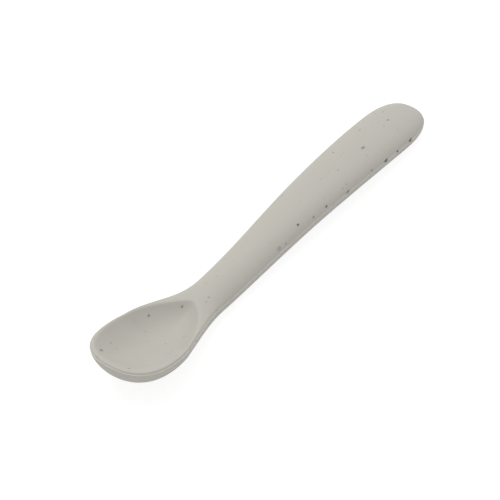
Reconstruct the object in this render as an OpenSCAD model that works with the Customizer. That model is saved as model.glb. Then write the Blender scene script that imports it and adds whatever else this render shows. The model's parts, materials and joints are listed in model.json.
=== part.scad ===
// A baby spoon: a soft silicone body moulded in one piece over a hidden stiffening blade.
// The spoon lies on a table as it rests by itself. +X runs from the bowl's tip to the
// handle's end, +Y runs across and +Z runs up. The origin is on the table, under the middle.

/* [Overall] */
// Length from the bowl's tip to the handle's end
spoon_l = 150; // [140:1:165]
// Depth of the flats cut under the bowl and the handle, where the spoon rests
rest_cut = 0.25; // [0.15:0.05:0.4]

/* [Bowl] */
// Distance from the tip to the bowl's widest place
bowl_front_l = 14.5; // [13:0.5:17]
// Distance from the bowl's widest place to the narrow start of the neck
bowl_back_l = 32.2; // [29:0.1:36]
// Width of the bowl over the parting line
bowl_w = 25.2; // [23:0.2:29]
// Distance from the tip to the belly's lowest place
belly_at = 21.5; // [18:0.1:23]
// Depth of the belly below the parting line
belly_d = 9.8; // [8.5:0.1:10.5]
// Distance over which the belly runs out into the neck's underside
belly_back_l = 28; // [22:0.5:30]
// Height of the tip's parting line above that over the belly
tip_rise = 3.8; // [3:0.1:6]
// Height of the rim's crown above the parting line
rim_rise = 0.7; // [0.4:0.1:1.2]
// Width of the rim's rounded outer edge
rim_round = 0.5; // [0.4:0.1:1.1]

/* [Hollow] */
// Width of the rim band at the sides of the hollow
rim_side_w = 1.4; // [1.1:0.1:2]
// Width of the rim band at the tip
rim_front_w = 2.1; // [1.8:0.1:3]
// Distance from the tip to the hollow's widest place
hollow_wide_at = 17.5; // [15.5:0.1:19]
// Distance from the hollow's widest place to its rear edge
hollow_back_l = 20.9; // [19:0.1:23]
// Depth of the hollow below the rim's crown
hollow_d = 5; // [4.6:0.1:6.4]
// Width of the soft edge between the rim and the hollow's wall
hollow_round = 0.8; // [0.4:0.1:1]

/* [Neck] */
// Width of the neck over the parting line
neck_w = 12.2; // [11:0.1:14]
// Distance from the tip to the neck's lowest place
neck_low_at = 50.3; // [47:0.1:55]
// Height of the neck's crown above the parting line
neck_crown = 3.8; // [3:0.1:4.4]
// Depth of the neck's underside below the parting line
neck_belly = 4.3; // [3.8:0.1:5]
// Gap between the table and the neck's underside
neck_gap = 0.4; // [0.1:0.1:2]
// Length of the top face's run from the hollow's rear edge to the plain neck
neck_lead_l = 12.5; // [10:0.5:14]

/* [Handle] */
// Width of the handle over the parting line at its widest
handle_w = 17.3; // [15:0.1:20]
// Length of the rounded end beyond the widest place
handle_end_l = 17.8; // [15:0.1:22]
// Height of the handle's crown above the parting line
handle_crown = 4; // [3.4:0.1:4.6]
// Depth of the handle's underside below the parting line
handle_belly = 4.7; // [4.2:0.1:5.2]
// Distance from the handle's end to the crest of its arch
crest_at = 53.5; // [42:0.5:56]
// Gap between the table and the underside at the crest
crest_gap = 1.9; // [0.8:0.1:4]

/* [Stiffening blade] */
// Gap between the hollow's rear edge and the blade's front end
blade_front_gap = 3; // [2:0.5:6]
// Gap between the handle's end and the blade's rear end
blade_rear_gap = 14; // [12:0.5:20]
// Thickness of the blade
blade_t = 2; // [1.6:0.1:2.4]
// Width of the blade in the neck
blade_neck_w = 6; // [5:0.1:7]
// Width of the blade in the handle
blade_handle_w = 9.4; // [8:0.1:11]
// Bevel along the blade's four long edges
blade_bevel = 0.4; // [0.2:0.1:0.6]
// Diameter of the holes that the silicone flows through
lock_d = 4; // [3:0.1:5]
// Distance between the holes
lock_pitch = 18; // [14:1:18]

/* [Hidden] */
// Places along the spoon
tip_x = -spoon_l / 2;
end_x = spoon_l / 2;
wide_x = tip_x + bowl_front_l;
neck_x = wide_x + bowl_back_l;
belly_x = tip_x + belly_at;
low_x = tip_x + neck_low_at;
crest_x = end_x - crest_at;
grip_x = end_x - handle_end_l;
hollow_x = tip_x + hollow_wide_at;
hollow_rear_x = hollow_x + hollow_back_l;
join_x = hollow_rear_x + neck_lead_l;
lead_x = hollow_x + hollow_back_l / 2;
// Heights of the parting line
belly_z = belly_d - rest_cut;
low_z = neck_gap + neck_belly;
crest_z = crest_gap + handle_belly;
// Fall of the soft edge between the rim and the hollow's wall, as a share of its width
edge_fall_share = 0.4;
edge_drop = edge_fall_share * hollow_round;
// Roundness of the outline at the tip and at the handle's end, as powers of a superellipse
tip_share = 2.45;
end_share = 2.7;
// Roundness of the hollow's outline ahead of and behind its widest place
hollow_front_share = 2.75;
hollow_back_share = 1.55;
// Powers of the hollow's wall at its sides and its ends, and of the tip's upward curve
wall_side_share = 2.2;
wall_end_share = 3.2;
tip_curve_share = 1.05;
// Roundness of the sections: the neck's top, the handle's, and the undersides
neck_top_share = 1.9;
handle_top_share = 2.3;
bowl_under_share = 1.95;
handle_under_share = 2.9;
// Roundness of the profile where it closes at the tip and at the handle's end
nose_share = 2.35;
tail_share = 2.7;
// Columns around the hollow, and half the angle of those that run to the neck
around = 72;
fan_a = 40;
// How the columns behind the hollow's widest place spread out along the outline
lead_share = 1.5;
// Small steps, in columns and along x, between two points that give a line's direction
turn_step = 0.02;
slope_step = 0.05;
// Rows from the parting line to the hollow's edge, as shares of the way
rim_shares = [0, 0.08, 0.22, 0.42, 0.62, 0.8, 0.92, 1];
// Rows from the hollow's edge to its deepest place, as shares of the way out
floor_shares = [0.94, 0.86, 0.76, 0.64, 0.5, 0.34, 0.17];
// Rows along the handle, columns under the spoon, rows along the blade
handle_rows = 30;
under_columns = 24;
blade_rows = 24;
// Power and least share of the blade's rounded ends
blade_end_share = 10;
blade_least_share = 0.4;
lock_count = 3;
// A share this close to 1 is 1, so that every end closes in a point
rounding_share = 1e-9;

// Height of a superellipse of power n at t, both as shares
function dome(t, n) = abs(t) > 1 - rounding_share ? 0 : pow(1 - pow(abs(t), n), 1 / n);
// Cosine and sine of a superellipse of power n
function round_cos(a, n) = sign(cos(a)) * pow(abs(cos(a)), 2 / n);
function round_sin(a, n) = sign(sin(a)) * pow(abs(sin(a)), 2 / n);
// Smooth run from va at a to vb at b, level at both
function step01(t) = (1 - cos(180 * max(0, min(1, t)))) / 2;
function blend(x, a, b, va, vb) = va + (vb - va) * step01((x - a) / (b - a));

// Half the width over the parting line
function half_w(x) =
    x < wide_x ? bowl_w / 2 * dome((wide_x - x) / bowl_front_l, tip_share)
    : x < neck_x ? blend(x, wide_x, neck_x, bowl_w / 2, neck_w / 2)
    : x < grip_x ? blend(x, neck_x, grip_x, neck_w / 2, handle_w / 2)
    : handle_w / 2 * dome((x - grip_x) / handle_end_l, end_share);
// Height of the parting line
function parting_z(x) =
    x < belly_x ? belly_z + tip_rise * pow((belly_x - x) / belly_at, tip_curve_share)
    : x < low_x ? blend(x, belly_x, low_x, belly_z, low_z)
    : x < crest_x ? blend(x, low_x, crest_x, low_z, crest_z)
    : crest_z - arch_fall * fall_share(x);
// Share of the arch's whole fall that lies between the crest and x
function fall_share(x) = pow((x - crest_x) / crest_at, 2);
// Height of the middle of the neck's and handle's top above the parting line
function crown(x) =
    x < grip_x ? blend(x, low_x, crest_x, neck_crown, handle_crown)
    : handle_crown * dome((x - grip_x) / handle_end_l, tail_share);
// Depth of the middle of the underside below the parting line
function belly(x) =
    x < belly_x ? belly_d * dome((belly_x - x) / belly_at, nose_share)
    : x < low_x ? blend(x, belly_x, belly_x + belly_back_l, belly_d, neck_belly)
    : x < grip_x ? blend(x, low_x, crest_x, neck_belly, handle_belly)
    : handle_belly * dome((x - grip_x) / handle_end_l, tail_share);
// Fall of the arch that brings the handle's underside down to the table near its end
arch_fall = min([for (i = [1:handle_rows - 1]) let (x = grip_x + handle_end_l * i / handle_rows)
    (crest_gap + handle_belly + rest_cut - belly(x)) / fall_share(x)]);
// Share of the plain neck's domed top, against the bowl's flat rim
function neck_share(x) = step01((x - lead_x) / (join_x - lead_x));

// Point of the top face at x and y, where edge is the distance in from the outline
function top_point(x, y, edge) =
    let (k = neck_share(x), w = half_w(x), n = blend(x, low_x, crest_x, neck_top_share, handle_top_share))
    [x, y, parting_z(x) + (1 - k) * rim_rise * dome(1 - min(1, edge / rim_round), 2)
        + k * crown(x) * (w > 0 ? dome(y / w, n) : 0)];
// Where column j leaves the outline, or the neck's first plain section
function side_a(j) = let (a = 360 * j / around) a > 180 ? 360 - a : a;
function side_sign(j) = 360 * j / around > 180 ? -1 : 1;
function outline_x(a) =
    a <= fan_a ? join_x
    : a <= 90 ? hollow_x + (join_x - hollow_x) * pow((90 - a) / (90 - fan_a), lead_share)
    : a >= 180 ? tip_x
    : hollow_x + hollow_wide_at * round_cos(a, hollow_front_share);
function outline_y(a) = half_w(outline_x(a)) * (a < fan_a ? sin(90 * a / fan_a) : 1);
function outline_point(j) =
    [outline_x(side_a(j)), side_sign(j) * outline_y(side_a(j))];
// Edge of the hollow in column j
function hollow_point(j) =
    let (a = side_a(j), front = a > 90, n = front ? hollow_front_share : hollow_back_share)
    [hollow_x + (front ? hollow_wide_at - rim_front_w : hollow_back_l) * round_cos(a, n),
        side_sign(j) * (bowl_w / 2 - rim_side_w) * round_sin(a, n)];
// Length of v square to a line that runs from a to b
function square_gap(v, a, b) = abs(cross(v, b - a)) / norm(b - a);
// Distance in from the outline, for point p of column j, which runs along v
function outer_gap(j, v, p, s) =
    side_a(j) > 90 ? square_gap(v, outline_point(j - turn_step), outline_point(j + turn_step)) * s
    : let (rise = half_w(p[0] + slope_step) - half_w(p[0] - slope_step))
        (half_w(p[0]) - abs(p[1])) / norm([1, rise / slope_step / 2]);
// Distance to the hollow's edge, for the point of column j at share s
function inner_gap(j, v, s) =
    square_gap(v, hollow_point(j - turn_step), hollow_point(j + turn_step)) * (1 - s);
// Point of column j on the rim, a share s of the way from the outline to the hollow
function rim_point(j, s) =
    let (o = outline_point(j), v = hollow_point(j) - o, p = o + v * s)
    let (soft = 1 - min(1, inner_gap(j, v, s) / hollow_round))
    top_point(p[0], p[1], outer_gap(j, v, p, s)) - [0, 0, edge_drop * soft * soft];
// Point of column j in the hollow, a share r of the way out from its deepest place
function floor_point(j, r) =
    let (h = hollow_point(j), x = belly_x + (h[0] - belly_x) * r, e = rim_point(j, 1))
    let (n = wall_side_share + (wall_end_share - wall_side_share) * pow(cos(side_a(j)), 2))
    let (level = parting_z(x) + rim_rise - edge_drop, lift = e[2] - parting_z(h[0]) - rim_rise + edge_drop)
    [x, h[1] * r, level + lift * pow(r, 4) - (hollow_d - edge_drop) * (1 - pow(r, n))];

// Stations along the outline: those of the bowl's columns, then those of the handle
bowl_xs = [for (j = [around / 2:-1:around * fan_a / 360]) outline_x(360 * j / around)];
handle_xs = [for (i = [1:handle_rows]) join_x + (end_x - join_x) * sin(90 * i / handle_rows)];
// Columns across the handle's top, from one edge to the other
across = [for (a = [fan_a:-360 / around:-fan_a]) sign(a) * sin(90 * abs(a) / fan_a)];

// Point of the underside at x, where a is 0 at the +Y edge and 180 at the -Y edge
function under_point(x, a) =
    let (k = step01((x - belly_x) / belly_back_l))
    let (n = bowl_under_share + (handle_under_share - bowl_under_share) * k)
    [x, half_w(x) * round_cos(a, n), max(0, parting_z(x) - belly(x) * round_sin(a, n))];

// Two triangles for each cell of a grid, given row by row, leaving out those with no area
function cell(g, i, j) =
    [[g[i][j], g[i + 1][j], g[i + 1][j + 1]], [g[i][j], g[i + 1][j + 1], g[i][j + 1]]];
function has_area(t) = t[0] != t[1] && t[1] != t[2] && t[2] != t[0];
function skin(g) = [for (i = [0:len(g) - 2], j = [0:len(g[0]) - 2], t = cell(g, i, j))
    if (has_area(t)) t];
// The same triangles, facing the other way
function flipped(ts) = [for (t = ts) [t[0], t[2], t[1]]];
// A closed solid from its triangles
module closed(ts) {
    polyhedron([for (t = ts, p = t) p], [for (i = [0:len(ts) - 1]) [3 * i, 3 * i + 1, 3 * i + 2]]);
}

rim_grid = [for (s = rim_shares) [for (j = [0:around]) rim_point(j % around, s)]];
floor_grid = concat([rim_grid[len(rim_shares) - 1]],
    [for (r = floor_shares) [for (j = [0:around]) floor_point(j % around, r)]]);
deepest = [belly_x, 0, parting_z(belly_x) + rim_rise - hollow_d];
floor_fan = [floor_grid[len(floor_shares)], [for (j = [0:around]) deepest]];
handle_grid = [for (x = concat([join_x], handle_xs)) [for (c = across) top_point(x, half_w(x) * c, rim_round)]];
under_grid = [for (x = concat(bowl_xs, handle_xs))
    [for (i = [under_columns:-1:0]) under_point(x, 180 * i / under_columns)]];

module spoon_shell() {
    closed(concat(skin(rim_grid), skin(floor_grid), skin(floor_fan), skin(handle_grid), skin(under_grid)));
}

// The blade follows the middle of the neck's and handle's thickness
blade_x1 = hollow_rear_x + blade_front_gap;
blade_x2 = end_x - blade_rear_gap;
function blade_mid(x) = parting_z(x) + (crown(x) - belly(x)) / 2;
function blade_section(u) =
    let (x = blade_x1 + (blade_x2 - blade_x1) * (1 - cos(180 * u)) / 2)
    let (e = max(blade_least_share, dome(cos(180 * u), blade_end_share)))
    let (w = blend(x, low_x, crest_x, blade_neck_w, blade_handle_w) / 2 * e)
    let (z = blade_mid(x), h = blade_t / 2, b = blade_bevel)
    [[x, w, z - h + b], [x, w, z + h - b], [x, w - b, z + h], [x, b - w, z + h],
        [x, -w, z + h - b], [x, -w, z - h + b], [x, b - w, z - h], [x, w - b, z - h], [x, w, z - h + b]];
function cap(s) = [for (i = [1:len(s) - 3]) [s[0], s[i], s[i + 1]]];
blade_grid = [for (i = [0:blade_rows]) blade_section(i / blade_rows)];

module blade_blank() {
    closed(concat(skin(blade_grid), cap(blade_grid[0]), flipped(cap(blade_grid[blade_rows]))));
}

module blade_shape() {
    difference() {
        blade_blank();
        for (i = [0:lock_count - 1])
            translate([crest_x + (i - (lock_count - 1) / 2) * lock_pitch, 0, 0])
                cylinder(h = crest_z + handle_crown, d = lock_d, $fn = 48);
    }
}

// Silicone body: bowl, neck and handle in one, moulded round the blade
module silicone_body() {
    color([0.74, 0.73, 0.7])
        difference() {
            spoon_shell();
            blade_shape();
        }
}

// Stiffening blade: a plastic strip with holes, sealed inside the neck and the handle
module stiffening_blade() {
    color([0.9, 0.9, 0.87]) blade_shape();
}

silicone_body();
stiffening_blade();
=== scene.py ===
"""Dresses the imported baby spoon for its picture, in Blender 4.5.

The spoon is one soft silicone moulding over a hidden stiffening blade. The frame gives the
blade and the box that everything stays in. The silicone is rebuilt here by the shape rules
of the part's source, with finer rows and a real parting line, and is then dressed as the
satin, flecked silicone that it is. The classes hold their sizes in millimetres, which are
turned to metres once, where a mesh or a lamp is made.
"""

import json
import logging
import math
from dataclasses import dataclass, field, replace
from enum import Enum
from typing import Any, Callable

import bmesh
import bpy
import numpy as np
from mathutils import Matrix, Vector
from mathutils.bvhtree import BVHTree

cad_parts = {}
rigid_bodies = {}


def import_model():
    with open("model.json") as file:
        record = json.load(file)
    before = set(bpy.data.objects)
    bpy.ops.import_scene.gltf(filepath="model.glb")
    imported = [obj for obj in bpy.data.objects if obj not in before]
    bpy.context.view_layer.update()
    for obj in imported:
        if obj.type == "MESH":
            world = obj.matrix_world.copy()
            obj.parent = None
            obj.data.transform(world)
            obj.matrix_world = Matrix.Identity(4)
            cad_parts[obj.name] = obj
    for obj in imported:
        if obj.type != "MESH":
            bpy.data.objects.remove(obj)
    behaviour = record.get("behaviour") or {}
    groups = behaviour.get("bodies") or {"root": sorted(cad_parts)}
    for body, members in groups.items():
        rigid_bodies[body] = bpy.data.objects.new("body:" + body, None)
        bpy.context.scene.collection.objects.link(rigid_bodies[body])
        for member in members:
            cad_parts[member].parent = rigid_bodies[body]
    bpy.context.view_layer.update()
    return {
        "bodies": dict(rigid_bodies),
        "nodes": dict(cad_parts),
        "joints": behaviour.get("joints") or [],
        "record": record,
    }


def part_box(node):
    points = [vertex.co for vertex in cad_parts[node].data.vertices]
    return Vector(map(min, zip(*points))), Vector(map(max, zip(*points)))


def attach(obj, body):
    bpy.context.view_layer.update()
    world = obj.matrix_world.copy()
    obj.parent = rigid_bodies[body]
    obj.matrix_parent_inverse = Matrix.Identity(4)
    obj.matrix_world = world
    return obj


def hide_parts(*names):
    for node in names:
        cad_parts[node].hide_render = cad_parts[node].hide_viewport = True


LOG = logging.getLogger("baby_spoon")
MM = 0.001
ROOT_BODY = "root"
# Name of the vertex attribute that marks the flash along the parting line, where a painted highlight goes
FLASH_HIGHLIGHT = "flash"
# Points of the mesh that are closer than this, in metres, are one point
MERGE = 1e-6
# Edges that are shorter than this, in metres, are dropped
SHORTEST = 1e-7
# The least half width, in millimetres, so that nothing is divided by zero
NARROWEST = 1e-6
WHITE = "#FFFFFF"


def linear(code: str) -> tuple[float, float, float, float]:
    """Turns an sRGB hex colour to linear light.

    Args:
        code: the colour, such as "#C3C0B8".

    Returns:
        Red, green, blue and alpha, each from 0 to 1.
    """
    parts = [int(code[i : i + 2], 16) / 255 for i in (1, 3, 5)]
    red, green, blue = (p / 12.92 if p <= 0.04045 else ((p + 0.055) / 1.055) ** 2.4 for p in parts)
    return red, green, blue, 1.0


def add_node(tree: bpy.types.NodeTree, kind: str, settings: dict[str, Any], **inputs: Any) -> bpy.types.Node:
    """Adds a node with its settings, its input values and its links.

    Args:
        tree: the node tree that the node goes into.
        kind: the node's type, such as "ShaderNodeBump".
        settings: values of the node's own properties.
        inputs: for each input's identifier, with _ for a space, its value, the socket
            that feeds it, or the node whose first output in use feeds it.

    Returns:
        The new node.
    """
    node = tree.nodes.new(kind)
    for name, value in settings.items():
        setattr(node, name, value)
    sockets = {s.identifier.replace(" ", "_"): s for s in node.inputs}
    for name, value in inputs.items():
        if isinstance(value, bpy.types.Node):
            value = next(s for s in value.outputs if s.enabled)
        if isinstance(value, bpy.types.NodeSocket):
            tree.links.new(value, sockets[name])
        else:
            sockets[name].default_value = value
    return node


def new_material(name: str) -> tuple[bpy.types.Material, bpy.types.NodeTree]:
    """Makes an empty node material.

    Args:
        name: the material's name.

    Returns:
        The material and its cleared node tree.
    """
    material = bpy.data.materials.new(name)
    material.use_nodes = True
    material.node_tree.nodes.clear()
    return material, material.node_tree


def cut_superellipse(t: np.ndarray, power: float) -> np.ndarray:
    """Gives the height of a superellipse.

    Args:
        t: places from its middle, as shares of its half width.
        power: its roundness, 2 for an ellipse.

    Returns:
        Heights as shares of the full height.
    """
    return np.maximum(0, 1 - np.minimum(1, np.abs(t)) ** power) ** (1 / power)


def ease(x: np.ndarray, start: float, end: float, low: float, high: float) -> np.ndarray:
    """Runs smoothly from one value to another, level at both.

    Args:
        x: places to give values for.
        start: where the run starts.
        end: where the run ends.
        low: the value at the start.
        high: the value at the end.

    Returns:
        The values at x.
    """
    share = (1 - np.cos(np.pi * np.clip((x - start) / (end - start), 0, 1))) / 2
    return low + (high - low) * share


def round_wave(wave: np.ndarray, power: np.ndarray | float) -> np.ndarray:
    """Turns a sine or cosine to a superellipse's.

    Args:
        wave: sines or cosines.
        power: the superellipse's roundness.

    Returns:
        The same for the superellipse.
    """
    return np.sign(wave) * np.abs(wave) ** (2 / power)


@dataclass(frozen=True)
class SpoonForm:
    """The moulding's shape rules, with the sizes of the part's source."""

    length: float
    bowl_w: float
    # Depth of the flats that the spoon rests on
    rest_cut: float = 0.25
    # The bowl's outline and underside, and the parting line's rise to the tip
    bowl_front_l: float = 14.5
    bowl_back_l: float = 32.2
    belly_at: float = 21.5
    belly_d: float = 9.8
    belly_back_l: float = 28.0
    tip_rise: float = 3.8
    # The rim band, the hollow inside it, and the soft edge between the two
    rim_rise: float = 0.7
    rim_round: float = 0.5
    rim_side_w: float = 1.4
    rim_front_w: float = 2.1
    hollow_wide_at: float = 17.5
    hollow_back_l: float = 20.9
    hollow_d: float = 5.0
    hollow_round: float = 0.8
    # Fall of the soft edge, as a share of its width
    edge_fall: float = 0.4
    # The neck, and the top face's run from the hollow's rear edge to the plain neck
    neck_w: float = 12.2
    neck_low_at: float = 50.3
    neck_crown: float = 3.8
    neck_belly: float = 4.3
    neck_gap: float = 0.4
    neck_lead_l: float = 12.5
    # The handle and its arch
    handle_w: float = 17.3
    handle_end_l: float = 17.8
    handle_crown: float = 4.0
    handle_belly: float = 4.7
    crest_at: float = 53.5
    crest_gap: float = 1.9
    # Number of steps in which the handle's end is held against the table
    arch_steps: int = 30
    # Roundness of the curves, as powers of a superellipse
    tip_power: float = 2.45
    end_power: float = 2.7
    hollow_front_power: float = 2.75
    hollow_back_power: float = 1.55
    neck_top_power: float = 1.9
    handle_top_power: float = 2.3
    bowl_under_power: float = 1.95
    handle_under_power: float = 2.9
    nose_power: float = 2.35
    tail_power: float = 2.7
    # Powers of the hollow's wall at its sides and its ends, and of the tip's upward curve
    wall_side_power: float = 2.2
    wall_end_power: float = 3.2
    tip_curve_power: float = 1.05
    # How quickly the hollow's wall takes up the height of the edge above it, as a power
    lift_power: int = 4
    # Half the angle, in degrees, of the columns that run from the hollow to the neck
    fan: float = 40.0
    # How the columns behind the hollow's widest place spread out along the outline
    lead_power: float = 1.5
    # Steps to either side of a point, in degrees and along x, that give a line's direction
    turn_step: float = 0.1
    slope_step: float = 0.05

    @property
    def tip_x(self) -> float:
        """Place of the bowl's tip."""
        return -self.length / 2

    @property
    def end_x(self) -> float:
        """Place of the handle's end."""
        return self.length / 2

    @property
    def edge_drop(self) -> float:
        """Fall of the soft edge between the rim and the hollow's wall."""
        return self.edge_fall * self.hollow_round

    @property
    def belly_x(self) -> float:
        """Place of the bowl's lowest point."""
        return self.tip_x + self.belly_at

    @property
    def low_x(self) -> float:
        """Place of the neck's lowest point."""
        return self.tip_x + self.neck_low_at

    @property
    def crest_x(self) -> float:
        """Place of the crest of the handle's arch."""
        return self.end_x - self.crest_at

    @property
    def grip_x(self) -> float:
        """Place of the handle's widest point."""
        return self.end_x - self.handle_end_l

    @property
    def hollow_x(self) -> float:
        """Place of the hollow's widest point."""
        return self.tip_x + self.hollow_wide_at

    @property
    def lead_x(self) -> float:
        """Place where the top face starts to turn from the rim to the plain neck."""
        return self.hollow_x + self.hollow_back_l / 2

    @property
    def join_x(self) -> float:
        """Place where the plain neck starts."""
        return self.hollow_x + self.hollow_back_l + self.neck_lead_l

    def inset(self, by: float) -> "SpoonForm":
        """Gives the same moulding with its outline drawn in, seen from above.

        Args:
            by: how far the outline moves in, all round.

        Returns:
            The form inside this one, with its hollow and heights where they were.
        """
        return replace(
            self,
            length=self.length - 2 * by,
            bowl_w=self.bowl_w - 2 * by,
            neck_w=self.neck_w - 2 * by,
            handle_w=self.handle_w - 2 * by,
            bowl_front_l=self.bowl_front_l - by,
            belly_at=self.belly_at - by,
            rim_side_w=self.rim_side_w - by,
            rim_front_w=self.rim_front_w - by,
            hollow_wide_at=self.hollow_wide_at - by,
            neck_low_at=self.neck_low_at - by,
            handle_end_l=self.handle_end_l - by,
            crest_at=self.crest_at - by,
        )

    def half_width(self, x: np.ndarray) -> np.ndarray:
        """Gives half the width over the parting line.

        Args:
            x: places along the spoon.

        Returns:
            Half widths.
        """
        wide_x = self.tip_x + self.bowl_front_l
        neck_x = wide_x + self.bowl_back_l
        bowl, neck, handle = self.bowl_w / 2, self.neck_w / 2, self.handle_w / 2
        front = bowl * cut_superellipse(np.maximum(0, wide_x - x) / self.bowl_front_l, self.tip_power)
        end = handle * cut_superellipse(np.maximum(0, x - self.grip_x) / self.handle_end_l, self.end_power)
        middle = np.where(
            x < neck_x, ease(x, wide_x, neck_x, bowl, neck), ease(x, neck_x, self.grip_x, neck, handle)
        )
        return np.where(x < wide_x, front, np.where(x < self.grip_x, middle, end))

    def fall(self, x: np.ndarray) -> np.ndarray:
        """Gives the share of the arch's fall between its crest and x."""
        return (np.maximum(0, x - self.crest_x) / self.crest_at) ** 2

    def arch_fall(self) -> float:
        """Works out the arch's whole fall, which brings the underside down to the table.

        Returns:
            How far the parting line falls from the crest to the handle's end.
        """
        x = self.grip_x + self.handle_end_l * np.arange(1, self.arch_steps) / self.arch_steps
        room = self.crest_gap + self.handle_belly + self.rest_cut - self.belly(x)
        return float((room / self.fall(x)).min())

    def parting(self, x: np.ndarray) -> np.ndarray:
        """Gives the height of the parting line.

        Args:
            x: places along the spoon.

        Returns:
            Heights above the table.
        """
        belly_z = self.belly_d - self.rest_cut
        low_z = self.neck_gap + self.neck_belly
        crest_z = self.crest_gap + self.handle_belly
        tip = np.maximum(0, (self.belly_x - x) / self.belly_at) ** self.tip_curve_power
        bowl = np.where(
            x < self.belly_x, belly_z + self.tip_rise * tip, ease(x, self.belly_x, self.low_x, belly_z, low_z)
        )
        arch = np.where(
            x < self.crest_x,
            ease(x, self.low_x, self.crest_x, low_z, crest_z),
            crest_z - self.arch_fall() * self.fall(x),
        )
        return np.where(x < self.low_x, bowl, arch)

    def tail(self, x: np.ndarray) -> np.ndarray:
        """Gives the share of the full section's height that is left near the handle's end."""
        return cut_superellipse(np.maximum(0, x - self.grip_x) / self.handle_end_l, self.tail_power)

    def crown(self, x: np.ndarray) -> np.ndarray:
        """Gives the height of the neck's and handle's middle above the parting line."""
        return ease(x, self.low_x, self.crest_x, self.neck_crown, self.handle_crown) * self.tail(x)

    def belly(self, x: np.ndarray) -> np.ndarray:
        """Gives the depth of the middle of the underside below the parting line.

        Args:
            x: places along the spoon.

        Returns:
            Depths.
        """
        nose = cut_superellipse(np.maximum(0, self.belly_x - x) / self.belly_at, self.nose_power)
        back = ease(x, self.belly_x, self.belly_x + self.belly_back_l, self.belly_d, self.neck_belly)
        handle = ease(x, self.low_x, self.crest_x, self.neck_belly, self.handle_belly) * self.tail(x)
        return np.where(x < self.belly_x, self.belly_d * nose, np.where(x < self.low_x, back, handle))

    def top(self, x: np.ndarray, y: np.ndarray, edge: np.ndarray | float) -> np.ndarray:
        """Gives points of the top face.

        Args:
            x: places along the spoon.
            y: places across it.
            edge: distances in from the outline.

        Returns:
            Points, with x, y and z last.
        """
        plain = ease(x, self.lead_x, self.join_x, 0, 1)
        width = np.maximum(self.half_width(x), NARROWEST)
        rim = self.rim_rise * cut_superellipse(1 - np.minimum(1, edge / self.rim_round), 2)
        power = ease(x, self.low_x, self.crest_x, self.neck_top_power, self.handle_top_power)
        domed = self.crown(x) * cut_superellipse(y / width, power)
        return np.stack([x, y, self.parting(x) + (1 - plain) * rim + plain * domed], -1)

    def outline(self, angle: np.ndarray) -> tuple[np.ndarray, np.ndarray]:
        """Gives where each column round the hollow leaves the outline, or the plain neck.

        Args:
            angle: the columns' angles, in degrees from the neck.

        Returns:
            Places along and across.
        """
        side = np.minimum(angle, 360 - angle)
        front = self.hollow_wide_at * round_wave(np.cos(np.radians(side)), self.hollow_front_power)
        lead = np.clip((90 - side) / (90 - self.fan), 0, 1) ** self.lead_power
        x = self.hollow_x + np.where(side > 90, front, (self.join_x - self.hollow_x) * lead)
        across = np.where(side < self.fan, np.sin(np.radians(90 * side / self.fan)), 1)
        return x, np.where(angle > 180, -1, 1) * self.half_width(x) * across

    def hollow_edge(self, angle: np.ndarray) -> tuple[np.ndarray, np.ndarray]:
        """Gives the hollow's edge in each column round it.

        Args:
            angle: the columns' angles, in degrees from the neck.

        Returns:
            Places along and across.
        """
        side = np.minimum(angle, 360 - angle)
        front = side > 90
        power = np.where(front, self.hollow_front_power, self.hollow_back_power)
        reach = np.where(front, self.hollow_wide_at - self.rim_front_w, self.hollow_back_l)
        x = self.hollow_x + reach * round_wave(np.cos(np.radians(side)), power)
        half = self.bowl_w / 2 - self.rim_side_w
        return x, np.where(angle > 180, -1, 1) * half * round_wave(np.sin(np.radians(side)), power)

    def band(
        self,
        line: Callable[[np.ndarray], tuple[np.ndarray, np.ndarray]],
        angle: np.ndarray,
        chord: tuple[np.ndarray, np.ndarray],
    ) -> np.ndarray:
        """Gives the width of the rim band in each column, square to one of its edges.

        Args:
            line: the function that gives the points of that edge.
            angle: the columns' angles, in degrees from the neck.
            chord: the columns' reach along and across, from edge to edge.

        Returns:
            Widths.
        """
        (x0, y0), (x1, y1) = line(angle - self.turn_step), line(angle + self.turn_step)
        return np.abs(chord[0] * (y1 - y0) - chord[1] * (x1 - x0)) / np.hypot(x1 - x0, y1 - y0)

    def rim(self, angle: np.ndarray, share: np.ndarray) -> np.ndarray:
        """Gives points between the outline and the hollow's edge.

        Args:
            angle: the columns' angles, in degrees from the neck.
            share: shares of the way in from the outline.

        Returns:
            Points, with x, y and z last.
        """
        (out_x, out_y), (in_x, in_y) = self.outline(angle), self.hollow_edge(angle)
        chord = (in_x - out_x, in_y - out_y)
        x, y = out_x + chord[0] * share, out_y + chord[1] * share
        slope = (self.half_width(x + self.slope_step) - self.half_width(x - self.slope_step)) / 2
        beside = (self.half_width(x) - np.abs(y)) / np.hypot(1, slope / self.slope_step)
        ahead = self.band(self.outline, angle, chord) * share
        points = self.top(x, y, np.where(np.abs(180 - angle) < 90, ahead, beside))
        reach = self.band(self.hollow_edge, angle, chord) * (1 - share)
        points[..., 2] -= self.edge_drop * (1 - np.minimum(1, reach / self.hollow_round)) ** 2
        return points

    def hollow(self, angle: np.ndarray, share: np.ndarray) -> np.ndarray:
        """Gives points of the hollow's wall and floor.

        Args:
            angle: the columns' angles, in degrees from the neck.
            share: shares of the way out from the deepest place.

        Returns:
            Points, with x, y and z last.
        """
        edge_x, edge_y = self.hollow_edge(angle)
        x = self.belly_x + (edge_x - self.belly_x) * share
        drop = self.rim_rise - self.edge_drop
        lift = self.rim(angle, np.ones_like(angle))[..., 2] - self.parting(edge_x) - drop
        ends = np.cos(np.radians(angle)) ** 2
        power = self.wall_side_power + (self.wall_end_power - self.wall_side_power) * ends
        depth = (self.hollow_d - self.edge_drop) * (1 - share**power)
        z = self.parting(x) + drop + lift * share**self.lift_power - depth
        return np.stack([x, edge_y * share, z], -1)

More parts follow.
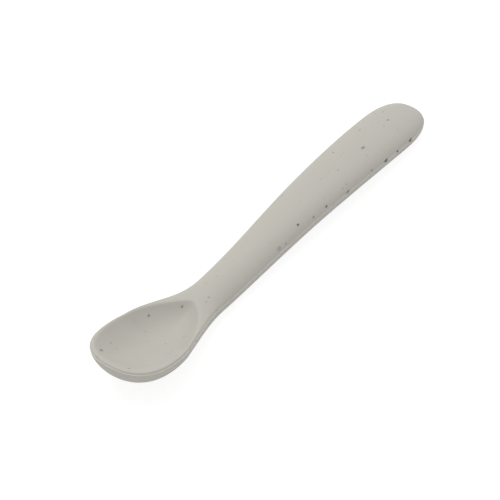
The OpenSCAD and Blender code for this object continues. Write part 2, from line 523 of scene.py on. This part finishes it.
    def underside(self, x: np.ndarray, angle: np.ndarray) -> np.ndarray:
        """Gives points of the underside.

        Args:
            x: places along the spoon.
            angle: degrees round the section, from 0 at the +Y edge to 180 at the -Y edge.

        Returns:
            Points, with x, y and z last.
        """
        power = ease(
            x, self.belly_x, self.belly_x + self.belly_back_l, self.bowl_under_power, self.handle_under_power
        )
        y = self.half_width(x) * round_wave(np.cos(np.radians(angle)), power)
        z = self.parting(x) - self.belly(x) * round_wave(np.sin(np.radians(angle)), power)
        return np.stack([x, y, z], -1)


class FleckTone(Enum):
    """How dark a fleck looks: at the skin, just under it, or deeper in the silicone."""

    AT_SKIN = 0.85
    SHALLOW = 0.5
    DEEP = 0.28


class FleckFace(Enum):
    """The face that a fleck is in, by the direction that the face looks."""

    TOP = (0.0, 0.0, 1.0)
    SIDE = (0.0, -1.0, 0.0)


class FleckSize(Enum):
    """Half length and half width of a fleck, in millimetres."""

    BROAD = (0.9, 0.5)
    SMALL = (0.5, 0.35)


@dataclass(frozen=True)
class Fleck:
    """One fleck that is plain to see.

    Its place is along from the tip, and then across in the top, or above the table in the
    side.
    """

    along: float
    place: float
    tone: FleckTone
    size: FleckSize
    face: FleckFace = FleckFace.TOP


# The few flecks that catch the eye, with places given in whole and half millimetres
FLECKS = (
    # In the hollow
    Fleck(4, -4, FleckTone.AT_SKIN, FleckSize.SMALL),
    Fleck(5, 6.5, FleckTone.SHALLOW, FleckSize.BROAD),
    Fleck(27, 7, FleckTone.SHALLOW, FleckSize.SMALL),
    Fleck(36, 2, FleckTone.SHALLOW, FleckSize.SMALL),
    # In the handle's top
    Fleck(72, -6, FleckTone.DEEP, FleckSize.BROAD),
    Fleck(82, -5.5, FleckTone.AT_SKIN, FleckSize.SMALL),
    Fleck(120, -2, FleckTone.SHALLOW, FleckSize.BROAD),
    Fleck(136, 0, FleckTone.SHALLOW, FleckSize.SMALL),
    # In the side that faces -Y
    Fleck(26, 9, FleckTone.SHALLOW, FleckSize.SMALL, FleckFace.SIDE),
    Fleck(88, 8, FleckTone.SHALLOW, FleckSize.SMALL, FleckFace.SIDE),
    Fleck(94, 8, FleckTone.AT_SKIN, FleckSize.SMALL, FleckFace.SIDE),
    Fleck(104, 7, FleckTone.SHALLOW, FleckSize.BROAD, FleckFace.SIDE),
    Fleck(116, 7, FleckTone.SHALLOW, FleckSize.SMALL, FleckFace.SIDE),
    Fleck(123, 6, FleckTone.AT_SKIN, FleckSize.BROAD, FleckFace.SIDE),
    Fleck(129, 5.5, FleckTone.AT_SKIN, FleckSize.SMALL, FleckFace.SIDE),
    Fleck(136, 5, FleckTone.AT_SKIN, FleckSize.BROAD, FleckFace.SIDE),
)


@dataclass(frozen=True)
class FleckedSilicone:
    """Food-grade silicone rubber, warm grey, moulded in a finely blasted mould."""

    colour: str = "#C3C0B9"
    cool_colour: str = "#C0BEB7"
    fleck_colour: str = "#4A4843"
    # Painted highlight: the flash along the parting line is thin and lets light through, and that light is
    # painted in as this paler colour
    flash_colour: str = "#D9D6CF"
    # The mould's blasting leaves a satin skin, so that highlights are broad and weak
    roughness: float = 0.55
    ior: float = 1.41
    # Light goes about a millimetre into the filled rubber, which softens its edges
    glow: float = 0.15
    glow_mm: tuple[float, float, float] = (1.0, 0.9, 0.75)
    # The blasted grain is near 0.05 mm and too fine to show, so it is drawn at 0.4 mm
    grain_mm: float = 0.4
    grain_detail: float = 2.0
    grain_depth_mm: float = 0.004
    # Clouds of slightly different filler, about as wide as the handle
    cloud_mm: float = 14.0
    cloud_detail: float = 3.0
    # The smaller flecks lie all through the rubber, at most one to a cell of this size
    cell_mm: float = 2.0
    small_mm: float = 0.6
    small_dark: float = 0.4
    # Larger and darker flecks, on the faces that the list isn't for
    far_cell_mm: float = 2.0
    far_mm: float = 0.75
    far_dark: float = 1.0
    # Direction that the photo was taken from, which stays the same wherever the camera stands.
    # The list is for the faces that look this way, and the darker flecks come in between the
    # two values below, which say how far a face looks away from it
    listed_side: tuple[float, float, float] = (-0.58, -0.43, 0.69)
    far_start: float = -0.02
    far_full: float = -0.1
    # Share of the cells whose fleck is too small to see, and its half width over the cell's size
    empty: float = 0.35
    least_size: float = 0.02
    # A scattered fleck is full dark out to this share of its half width
    core: float = 0.35
    # A listed fleck is full dark out to the first of these shares, and gone at the second
    listed_core: float = 0.55
    listed_end: float = 1.3
    # The flecks are chips of pigment, so their edges wander: how often, and how far
    edge_noise_mm: float = 0.5
    edge_wander_mm: float = 0.35

    def scattered(
        self, tree: bpy.types.NodeTree, place: Any, cell: float, radius: float, dark: float
    ) -> bpy.types.Node:
        """Adds flecks at random places through the rubber.

        Args:
            tree: the material's nodes.
            place: the socket or node that gives the point, in metres.
            cell: the size of the cells that hold one fleck each.
            radius: the half width of the largest fleck.
            dark: how dark the darkest is.

        Returns:
            The node that gives how dark the point is.
        """
        cells = add_node(
            tree,
            "ShaderNodeTexVoronoi",
            {"feature": "F1"},
            Vector=place,
            Scale=1 / (cell * MM),
            Randomness=1.0,
        )
        pick = add_node(tree, "ShaderNodeSeparateColor", {}, Color=cells.outputs["Color"])
        size = add_node(
            tree,
            "ShaderNodeMapRange",
            {},
            Value=pick.outputs["Red"],
            From_Min=self.empty,
            To_Min=self.least_size,
            To_Max=radius / cell,
        )
        share = add_node(
            tree, "ShaderNodeMath", {"operation": "DIVIDE"}, Value=cells.outputs["Distance"], Value_001=size
        )
        fade = add_node(
            tree,
            "ShaderNodeMapRange",
            {"interpolation_type": "SMOOTHSTEP"},
            Value=share,
            From_Min=self.core,
            To_Min=dark,
            To_Max=0.0,
        )
        return add_node(
            tree, "ShaderNodeMath", {"operation": "MULTIPLY"}, Value=fade, Value_001=pick.outputs["Green"]
        )

    def listed(
        self, tree: bpy.types.NodeTree, place: Any, spots: list[tuple[Fleck, Vector]]
    ) -> bpy.types.Node:
        """Adds the flecks that are plain to see.

        Args:
            tree: the material's nodes.
            place: the socket or node that gives the point, in metres.
            spots: each fleck with its place on the skin, in metres.

        Returns:
            The node that gives how dark the point is.
        """
        dark = None
        for tone in FleckTone:
            nearest = None
            for fleck, centre in spots:
                if fleck.tone is not tone:
                    continue
                long, short = (half * MM for half in fleck.size.value)
                box = (long, short, long) if fleck.face is FleckFace.TOP else (long, long, short)
                local = add_node(
                    tree,
                    "ShaderNodeMapping",
                    {"vector_type": "TEXTURE"},
                    Vector=place,
                    Location=centre,
                    Scale=box,
                )
                away = add_node(tree, "ShaderNodeVectorMath", {"operation": "LENGTH"}, Vector=local)
                away = away.outputs["Value"]
                if nearest is not None:
                    away = add_node(
                        tree, "ShaderNodeMath", {"operation": "MINIMUM"}, Value=nearest, Value_001=away
                    )
                nearest = away
            shade = add_node(
                tree,
                "ShaderNodeMapRange",
                {"interpolation_type": "SMOOTHSTEP"},
                Value=nearest,
                From_Min=self.listed_core,
                From_Max=self.listed_end,
                To_Min=tone.value,
                To_Max=0.0,
            )
            if dark is not None:
                shade = add_node(
                    tree, "ShaderNodeMath", {"operation": "MAXIMUM"}, Value=dark, Value_001=shade
                )
            dark = shade
        return dark

    def material(self, spots: list[tuple[Fleck, Vector]]) -> bpy.types.Material:
        """Makes the silicone.

        Args:
            spots: each listed fleck with its place on the skin, in metres.

        Returns:
            The material.
        """
        material, tree = new_material("moulded_flecked_silicone")
        point = add_node(tree, "ShaderNodeTexCoord", {}).outputs["Object"]
        wander = add_node(tree, "ShaderNodeTexNoise", {}, Vector=point, Scale=1 / (self.edge_noise_mm * MM))
        centred = add_node(
            tree,
            "ShaderNodeVectorMath",
            {"operation": "SUBTRACT"},
            Vector=wander.outputs["Color"],
            Vector_001=(0.5, 0.5, 0.5),
        )
        scaled = add_node(
            tree,
            "ShaderNodeVectorMath",
            {"operation": "SCALE"},
            Vector=centred,
            Scale=self.edge_wander_mm * MM,
        )
        rough_point = add_node(
            tree, "ShaderNodeVectorMath", {"operation": "ADD"}, Vector=point, Vector_001=scaled
        )
        small = self.scattered(tree, rough_point, self.cell_mm, self.small_mm, self.small_dark)
        far = self.scattered(tree, rough_point, self.far_cell_mm, self.far_mm, self.far_dark)
        normal = add_node(tree, "ShaderNodeNewGeometry", {}).outputs["Normal"]
        turned = add_node(
            tree,
            "ShaderNodeVectorMath",
            {"operation": "DOT_PRODUCT"},
            Vector=normal,
            Vector_001=self.listed_side,
        )
        away = add_node(
            tree,
            "ShaderNodeMapRange",
            {},
            Value=turned.outputs["Value"],
            From_Min=self.far_start,
            From_Max=self.far_full,
        )
        far_side = add_node(tree, "ShaderNodeMath", {"operation": "MULTIPLY"}, Value=far, Value_001=away)
        spread = add_node(tree, "ShaderNodeMath", {"operation": "MAXIMUM"}, Value=small, Value_001=far_side)
        plain = self.listed(tree, rough_point, spots)
        dark = add_node(tree, "ShaderNodeMath", {"operation": "MAXIMUM"}, Value=spread, Value_001=plain)
        cloud = add_node(
            tree,
            "ShaderNodeTexNoise",
            {},
            Vector=point,
            Scale=1 / (self.cloud_mm * MM),
            Detail=self.cloud_detail,
        )
        rubber = add_node(
            tree,
            "ShaderNodeMix",
            {"data_type": "RGBA"},
            Factor_Float=cloud.outputs["Fac"],
            A_Color=linear(self.colour),
            B_Color=linear(self.cool_colour),
        )
        # Painted highlight: the marked flash is mixed toward a paler colour
        flash = add_node(tree, "ShaderNodeAttribute", {"attribute_name": FLASH_HIGHLIGHT})
        moulded = add_node(
            tree,
            "ShaderNodeMix",
            {"data_type": "RGBA"},
            Factor_Float=flash.outputs["Fac"],
            A_Color=rubber,
            B_Color=linear(self.flash_colour),
        )
        colour = add_node(
            tree,
            "ShaderNodeMix",
            {"data_type": "RGBA"},
            Factor_Float=dark,
            A_Color=moulded,
            B_Color=linear(self.fleck_colour),
        )
        grain = add_node(
            tree,
            "ShaderNodeTexNoise",
            {},
            Vector=point,
            Scale=1 / (self.grain_mm * MM),
            Detail=self.grain_detail,
        )
        bump = add_node(
            tree,
            "ShaderNodeBump",
            {},
            Height=grain.outputs["Fac"],
            Strength=1.0,
            Distance=self.grain_depth_mm * MM,
        )
        skin = add_node(
            tree,
            "ShaderNodeBsdfPrincipled",
            {},
            Base_Color=colour,
            Roughness=self.roughness,
            IOR=self.ior,
            Subsurface_Weight=self.glow,
            Subsurface_Radius=self.glow_mm,
            Subsurface_Scale=MM,
            Normal=bump,
        )
        add_node(tree, "ShaderNodeOutputMaterial", {}, Surface=skin)
        return material


@dataclass(frozen=True)
class MouldedPolypropylene:
    """Natural polypropylene, injection moulded: milky, waxy and a little glossy."""

    colour: str = "#E6E3D8"
    flow_colour: str = "#DEDBCF"
    roughness: float = 0.38
    ior: float = 1.49
    # Flow marks of the melt run along the strip, a few millimetres apart
    flow_mm: float = 4.0
    flow_detail: float = 4.0
    stretch: float = 0.15
    ripple_mm: float = 0.01

    def material(self) -> bpy.types.Material:
        """Makes the polypropylene.

        Returns:
            The material.
        """
        material, tree = new_material("moulded_polypropylene")
        point = add_node(tree, "ShaderNodeTexCoord", {}).outputs["Object"]
        along = add_node(tree, "ShaderNodeMapping", {}, Vector=point, Scale=(self.stretch, 1.0, 1.0))
        flow = add_node(
            tree,
            "ShaderNodeTexNoise",
            {},
            Vector=along,
            Scale=1 / (self.flow_mm * MM),
            Detail=self.flow_detail,
        )
        colour = add_node(
            tree,
            "ShaderNodeMix",
            {"data_type": "RGBA"},
            Factor_Float=flow.outputs["Fac"],
            A_Color=linear(self.colour),
            B_Color=linear(self.flow_colour),
        )
        bump = add_node(
            tree, "ShaderNodeBump", {}, Height=flow.outputs["Fac"], Strength=1.0, Distance=self.ripple_mm * MM
        )
        skin = add_node(
            tree,
            "ShaderNodeBsdfPrincipled",
            {},
            Base_Color=colour,
            Roughness=self.roughness,
            IOR=self.ior,
            Normal=bump,
        )
        add_node(tree, "ShaderNodeOutputMaterial", {}, Surface=skin)
        return material


@dataclass
class SiliconeBody:
    """The one soft moulding: bowl, neck and handle, with its parting line."""

    form: SpoonForm
    # Height of the frame's body, which the finer rows stay under
    height: float
    # The flash that the two mould halves leave, from each half's skin out to the outline
    seam_upper: float = 0.18
    seam_lower: float = 0.05
    # Half the flash's height, and how far up and down the skin makes way for it
    seam_half_h: float = 0.12
    seam_reach: float = 0.45
    # How quickly that fades out across the rim band, as a power
    seam_fade: int = 8
    seam_rows: int = 8
    # The number, counted from 0, of the first grid of the skin that is flash
    flash_patch: int = 4
    # Rows and columns of the skin
    round_columns: int = 288
    rim_rows: int = 24
    hollow_rows: int = 30
    handle_rows: int = 260
    under_columns: int = 96
    # The skin that build() makes, for finding places on it
    tree: BVHTree | None = field(default=None, init=False)

    def lift(self, height: np.ndarray) -> np.ndarray:
        """Gives how far the skin near the parting line makes way for the flash."""
        return self.seam_half_h * np.maximum(0, 1 - height / self.seam_reach) ** 2

    def stations(self, form: SpoonForm, bowl_turn: np.ndarray, quarter: np.ndarray) -> np.ndarray:
        """Gives the places along the spoon of the points of its outline.

        Args:
            form: the form that the outline is of.
            bowl_turn: the angles of the bowl's columns, in degrees.
            quarter: the handle's places, as shares of the way from the join to the end.

        Returns:
            Places along the spoon.
        """
        handle = form.join_x + (form.end_x - form.join_x) * quarter[1:]
        return np.concatenate([form.outline(bowl_turn)[0], handle])

    def edge(self, form: SpoonForm, bowl_turn: np.ndarray, quarter: np.ndarray) -> np.ndarray:
        """Gives the points of the outline on the +Y side.

        Args:
            form: the form that the outline is of.
            bowl_turn: the angles of the bowl's columns, in degrees.
            quarter: the handle's places, as shares of the way from the join to the end.

        Returns:
            Points, with x, y and z last.
        """
        x = self.stations(form, bowl_turn, quarter)
        return np.stack([x, form.half_width(x), form.parting(x)], -1)

    def patches(self) -> list[np.ndarray]:
        """Works out the skin as grids of points.

        Returns:
            The grids: the rim, the hollow, the handle's top, the underside and the flash on
            each side, in millimetres.
        """
        skin = self.form.inset(self.seam_upper)
        lower = self.form.inset(self.seam_lower)
        turn = np.arange(self.round_columns + 1) * 360 / self.round_columns
        turn[-1] = 0
        share = ((1 - np.cos(np.pi * np.arange(self.rim_rows + 1) / self.rim_rows)) / 2)[:, None]
        rim = skin.rim(turn[None] + 0 * share, share + 0 * turn[None])
        rim[..., 2] += self.lift(rim[..., 2] - skin.parting(rim[..., 0])) * (1 - share) ** self.seam_fade
        inward = (1 - np.arange(self.hollow_rows + 1) / self.hollow_rows)[:, None]
        hollow = skin.hollow(turn[None] + 0 * inward, inward + 0 * turn[None])

        fan_columns = round(self.round_columns * skin.fan / 360)
        across = np.sin(np.pi / 2 * np.arange(fan_columns, -fan_columns - 1, -1) / fan_columns)
        quarter = np.sin(np.pi / 2 * np.arange(self.handle_rows + 1) / self.handle_rows)
        x = (skin.join_x + (skin.end_x - skin.join_x) * quarter)[:, None]
        handle = skin.top(x + 0 * across[None], skin.half_width(x) * across[None], skin.rim_round)
        handle[..., 2] += self.lift(handle[..., 2] - skin.parting(x))

        degrees = np.arange(self.under_columns, -1, -1) * 180 / self.under_columns
        bowl_turn = np.arange(self.round_columns // 2, fan_columns - 1, -1) * 360 / self.round_columns
        x = self.stations(lower, bowl_turn, quarter)[:, None]
        under = lower.underside(x + 0 * degrees[None], degrees[None] + 0 * x)
        under[..., 2] -= self.lift(lower.parting(x) - under[..., 2])
        under[..., 2] = np.maximum(0, under[..., 2])

        swell = np.pi * (np.arange(self.seam_rows + 1) / self.seam_rows - 0.5)[:, None, None]
        upper, outer, lower = (self.edge(form, bowl_turn, quarter) for form in (skin, self.form, lower))
        flash = np.where(swell > 0, upper, lower)
        flash = flash + (outer - flash) * np.cos(swell)
        flash[..., 2:] = np.where(swell > 0, upper, lower)[..., 2:] + self.seam_half_h * np.sin(swell)
        grids = [rim, hollow, handle, under, flash, flash * (1, -1, 1)]
        fit = min(1, self.height / max(grid[..., 2].max() for grid in grids))
        return [grid * (1, 1, fit) for grid in grids]

    def build(self) -> bpy.types.Object:
        """Makes the silicone body's mesh and puts it in place of its CAD node.

        Returns:
            The object.
        """
        mesh = bmesh.new()
        # Marks the flash's points, where the material paints a paler highlight
        pale = mesh.verts.layers.float.new(FLASH_HIGHLIGHT)
        for number, grid in enumerate(self.patches()):
            points = [[mesh.verts.new(Vector(p) * MM) for p in row] for row in grid]
            if number >= self.flash_patch:
                for vertex in (v for row in points[1:-1] for v in row):
                    vertex[pale] = 1.0
            for upper, lower in zip(points, points[1:]):
                for i in range(len(upper) - 1):
                    mesh.faces.new((upper[i], upper[i + 1], lower[i + 1], lower[i]))
        bmesh.ops.remove_doubles(mesh, verts=mesh.verts, dist=MERGE)
        bmesh.ops.dissolve_degenerate(mesh, edges=mesh.edges, dist=SHORTEST)
        bmesh.ops.recalc_face_normals(mesh, faces=mesh.faces)
        for face in mesh.faces:
            face.smooth = True
        self.tree = BVHTree.FromBMesh(mesh)
        data = bpy.data.meshes.new("silicone_skin")
        open_edges = sum(1 for e in mesh.edges if not e.is_manifold)
        mesh.to_mesh(data)
        mesh.free()
        piece = bpy.data.objects.new("silicone_skin", data)
        bpy.context.scene.collection.objects.link(piece)
        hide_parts("silicone_body")
        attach(piece, ROOT_BODY)
        LOG.info("silicone_skin: %d faces, %d open edges", len(data.polygons), open_edges)
        return piece

    def spots(self) -> list[tuple[Fleck, Vector]]:
        """Finds the place on the skin of each listed fleck.

        Returns:
            Each fleck with its place, in metres.
        """
        found = []
        for fleck in FLECKS:
            looks = Vector(fleck.face.value)
            place = Vector((self.form.tip_x + fleck.along, fleck.place, 0))
            if fleck.face is FleckFace.SIDE:
                place = Vector((place.x, 0, fleck.place))
            hit = self.tree.ray_cast(place * MM + looks, -looks)[0]
            if hit is None:
                raise ValueError(f"the fleck {fleck} misses the skin")
            found.append((fleck, hit))
        return found

    def dress(self, piece: bpy.types.Object, finish: FleckedSilicone) -> None:
        """Gives the body its silicone.

        Args:
            piece: the body's object.
            finish: the silicone.
        """
        piece.data.materials.append(finish.material(self.spots()))
        LOG.info("silicone_skin: %d flecks are placed by hand", len(FLECKS))


@dataclass
class StiffeningBlade:
    """The plastic strip inside the neck and the handle, as the frame has it."""

    node: str = "stiffening_blade"

    def dress(self, frame: dict[str, Any], finish: MouldedPolypropylene) -> None:
        """Gives the blade's CAD node its plastic.

        Args:
            finish: the plastic.
        """
        blade = frame["nodes"][self.node]
        blade.data.materials.clear()
        blade.data.materials.append(finish.material())
        LOG.info("%s: kept from the frame, dressed as polypropylene", self.node)


@dataclass(frozen=True)
class Lamp:
    """A square soft box: where it hangs from the spoon, its size and its light."""

    name: str
    azimuth: float
    elevation: float
    distance: float
    size: float
    level: float
    colour: str


@dataclass
class Studio:
    """The pale floor, the white surroundings, the lamps and the camera."""

    floor_half: float = 1500.0
    # The floor gives back this much light, as pale card does
    floor_colour: str = "#FAFAF8"
    # What the camera sees of the floor: its own light, and the light that falls on it
    floor_glow: float = 0.86
    floor_seen_colour: str = "#909090"
    sky_level: float = 0.55
    sky_colour: str = WHITE
    lamps: tuple[Lamp, ...] = (Lamp("key", 170, 70, 900, 700, 0.48, "#FFFDF8"),)
    # The camera's bearing, height and distance, and where it looks: a height over the frame's
    # origin, then a step to the right and up in the picture
    azimuth: float = -53.5
    elevation: float = 43.4
    distance: float = 900.0
    aim_height: float = 5.0
    aim_right: float = -5.46
    aim_up: float = -3.05
    sensor: float = 36.0
    lens: float = 221.7

    def bearing(self, azimuth: float, elevation: float) -> Vector:
        """Gives the direction from the spoon to a lamp or the camera.

        Args:
            elevation: degrees above the floor.

        Returns:
            A vector of length 1.
        """
        turn, rise = math.radians(azimuth), math.radians(elevation)
        return Vector((math.sin(turn) * math.cos(rise), -math.cos(turn) * math.cos(rise), math.sin(rise)))

    def aim(self, item: bpy.types.Object, back: Vector, distance: float, target: Vector) -> None:
        """Puts a lamp or the camera in place, pointed at the spoon.

        Args:
            item: the lamp's or camera's object.
            back: the direction from the target to it.
            distance: how far away it is, in millimetres.
            target: the point that it looks at, in metres.
        """
        item.location = target + back * distance * MM
        item.rotation_mode = "QUATERNION"
        item.rotation_quaternion = (-back).to_track_quat("-Z", "Y")

    def build_floor(self) -> None:
        """Makes the pale floor, which shows white to the camera but keeps the shadow."""
        half = self.floor_half * MM
        corners = [(-half, -half, 0), (half, -half, 0), (half, half, 0), (-half, half, 0)]
        data = bpy.data.meshes.new("floor")
        data.from_pydata(corners, [], [(0, 1, 2, 3)])
        floor = bpy.data.objects.new("floor", data)
        bpy.context.scene.collection.objects.link(floor)
        material, tree = new_material("pale_card")
        card = add_node(tree, "ShaderNodeBsdfDiffuse", {}, Color=linear(self.floor_colour))
        seen = add_node(tree, "ShaderNodeBsdfDiffuse", {}, Color=linear(self.floor_seen_colour))
        glow = add_node(tree, "ShaderNodeEmission", {}, Color=linear(WHITE), Strength=self.floor_glow)
        both = add_node(tree, "ShaderNodeAddShader", {}, Shader=seen, Shader_001=glow)
        ray = add_node(tree, "ShaderNodeLightPath", {}).outputs["Is Camera Ray"]
        mixed = add_node(tree, "ShaderNodeMixShader", {}, Fac=ray, Shader=card, Shader_001=both)
        add_node(tree, "ShaderNodeOutputMaterial", {}, Surface=mixed)
        data.materials.append(material)

    def build_world(self) -> None:
        """Makes the surroundings: white where they are seen, softer as light on the spoon."""
        world = bpy.data.worlds.new("white_surroundings")
        world.use_nodes = True
        tree = world.node_tree
        tree.nodes.clear()
        rays = add_node(tree, "ShaderNodeLightPath", {})
        seen = rays.outputs["Is Camera Ray"]
        for other in ("Is Glossy Ray", "Is Transmission Ray"):
            seen = add_node(
                tree, "ShaderNodeMath", {"operation": "MAXIMUM"}, Value=seen, Value_001=rays.outputs[other]
            )
        sky = linear(self.sky_colour)
        soft = add_node(tree, "ShaderNodeBackground", {}, Color=sky, Strength=self.sky_level)
        white = add_node(tree, "ShaderNodeBackground", {}, Color=linear(WHITE), Strength=1.0)
        mixed = add_node(tree, "ShaderNodeMixShader", {}, Fac=seen, Shader=soft, Shader_001=white)
        add_node(tree, "ShaderNodeOutputWorld", {}, Surface=mixed)
        bpy.context.scene.world = world

    def build_lamps(self) -> None:
        """Hangs the soft boxes."""
        for lamp in self.lamps:
            light = bpy.data.lights.new(lamp.name, "AREA")
            light.shape = "SQUARE"
            light.size = lamp.size * MM
            # A lamp of pi squared watts at a metre lights a surface that faces it at level 1
            light.energy = lamp.level * (math.pi * lamp.distance * MM) ** 2
            light.color = linear(lamp.colour)[:3]
            item = bpy.data.objects.new(lamp.name, light)
            bpy.context.scene.collection.objects.link(item)
            self.aim(item, self.bearing(lamp.azimuth, lamp.elevation), lamp.distance, Vector((0, 0, 0)))

    def build_camera(self) -> None:
        """Sets the camera at the photograph's angle."""
        data = bpy.data.cameras.new("camera")
        data.sensor_width = self.sensor
        data.lens = self.lens
        camera = bpy.data.objects.new("camera", data)
        bpy.context.scene.collection.objects.link(camera)
        back = self.bearing(self.azimuth, self.elevation)
        right = Vector((0, 0, 1)).cross(back).normalized()
        middle = Vector((0, 0, self.aim_height)) + right * self.aim_right + back.cross(right) * self.aim_up
        self.aim(camera, back, self.distance, middle * MM)
        bpy.context.scene.camera = camera

    def build(self) -> None:
        """Builds the whole studio."""
        self.build_floor()
        self.build_world()
        self.build_lamps()
        self.build_camera()
        bpy.context.scene.view_settings.view_transform = "Standard"
        LOG.info("studio: floor, surroundings, %d lamps and camera", len(self.lamps))


def main() -> None:
    """Builds and dresses the spoon and its studio."""
    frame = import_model()
    low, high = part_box("silicone_body")
    form = SpoonForm(length=(high.x - low.x) / MM, bowl_w=(high.y - low.y) / MM)
    body = SiliconeBody(form, height=(high.z - low.z) / MM)
    piece = body.build()
    body.dress(piece, FleckedSilicone())
    StiffeningBlade().dress(frame, MouldedPolypropylene())
    Studio().build()


if __name__ == "__main__":
    logging.basicConfig(level=logging.INFO, format="%(name)s: %(message)s")
    main()
